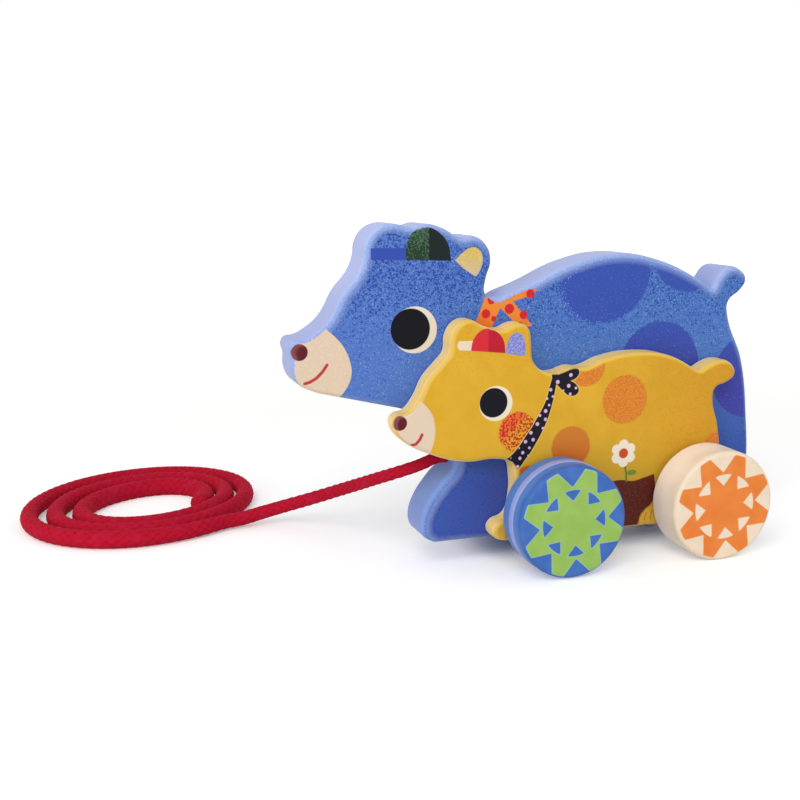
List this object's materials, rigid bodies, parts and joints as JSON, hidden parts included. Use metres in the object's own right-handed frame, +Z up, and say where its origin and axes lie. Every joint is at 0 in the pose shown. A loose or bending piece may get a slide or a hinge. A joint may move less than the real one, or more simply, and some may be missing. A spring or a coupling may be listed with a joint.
{
  "type": "pull-along toy",
  "caption": "Wooden pull-along toy: two flat bear-shaped boards side by side on turned wheels, a hammer chime inside and a braided pull cord.",
  "frame": {"origin": "On the floor, under the middle of the mother board's length and of the width over the wheels.", "axes": "+X runs from the snouts to the tails, +Y from the cub's side to the mother's, +Z up."},
  "size_m": [0.3324, 0.2238, 0.1507],
  "materials": {
    "blue_lacquer": "glossy printed lacquer on beech",
    "yellow_lacquer": "glossy printed lacquer on beech",
    "dark_blue_lacquer": "glossy printed lacquer on turned beech",
    "cream_lacquer": "glossy printed lacquer on turned beech",
    "ring_rubber": "matt",
    "beech": "bare turned wood",
    "steel": "bright zinc plating",
    "brass": "drawn and cut",
    "nylon": "moulded",
    "felt": "pressed wool felt",
    "cotton_cord": "round cotton braid"
  },
  "bodies": {
    "boards": {"mother_board": "blue_lacquer", "cub_board": "yellow_lacquer", "glue_dowel_head": "beech", "glue_dowel_back": "beech", "glue_dowel_rump": "beech", "glue_dowel_leg": "beech", "front_bush_near": "nylon", "front_bush_far": "nylon", "rear_bush_near": "nylon", "rear_bush_far": "nylon", "chime_frame": "steel", "frame_screw_left": "steel", "frame_screw_right": "steel", "hammer_pivot_pin": "steel", "tone_bar_low": "brass", "tone_bar_mid": "brass", "tone_bar_high": "brass", "bar_pin_low_left": "steel", "bar_pin_low_right": "steel", "bar_pin_mid_left": "steel", "bar_pin_mid_right": "steel", "bar_pin_high_left": "steel", "bar_pin_high_right": "steel", "bar_felt_left": "felt", "bar_felt_right": "felt", "cord_knot": "cotton_cord", "pull_cord": "cotton_cord", "cord_coil": "cotton_cord"},
    "front_wheelset": {"front_axle": "steel", "front_wheel_near": "dark_blue_lacquer", "front_wheel_far": "dark_blue_lacquer", "grip_ring_near": "ring_rubber", "grip_ring_far": "ring_rubber", "music_drum": "nylon"},
    "rear_wheelset": {"rear_axle": "steel", "rear_wheel_near": "cream_lacquer", "rear_wheel_far": "cream_lacquer"},
    "hammer_low": {"hammer_low": "steel"},
    "hammer_mid": {"hammer_mid": "steel"},
    "hammer_high": {"hammer_high": "steel"}
  },
  "joints": [
    {"name": "front_wheels_spin", "type": "hinge", "parent": "boards", "child": "front_wheelset", "pos_m": [0.00345, 0, 0.025], "axis": [0, -1, 0], "continuous": true},
    {"name": "rear_wheels_spin", "type": "hinge", "parent": "boards", "child": "rear_wheelset", "pos_m": [0.07725, 0, 0.025], "axis": [0, -1, 0], "continuous": true},
    {"name": "hammer_low_lift", "type": "hinge", "parent": "boards", "child": "hammer_low", "pos_m": [0.04945, -0.00145, 0.036], "axis": [0, 1, 0], "range_deg": [0, 10]},
    {"name": "hammer_mid_lift", "type": "hinge", "parent": "boards", "child": "hammer_mid", "pos_m": [0.04945, 0.00285, 0.036], "axis": [0, 1, 0], "range_deg": [0, 10]},
    {"name": "hammer_high_lift", "type": "hinge", "parent": "boards", "child": "hammer_high", "pos_m": [0.04945, 0.00715, 0.036], "axis": [0, 1, 0], "range_deg": [0, 10]}
  ]
}
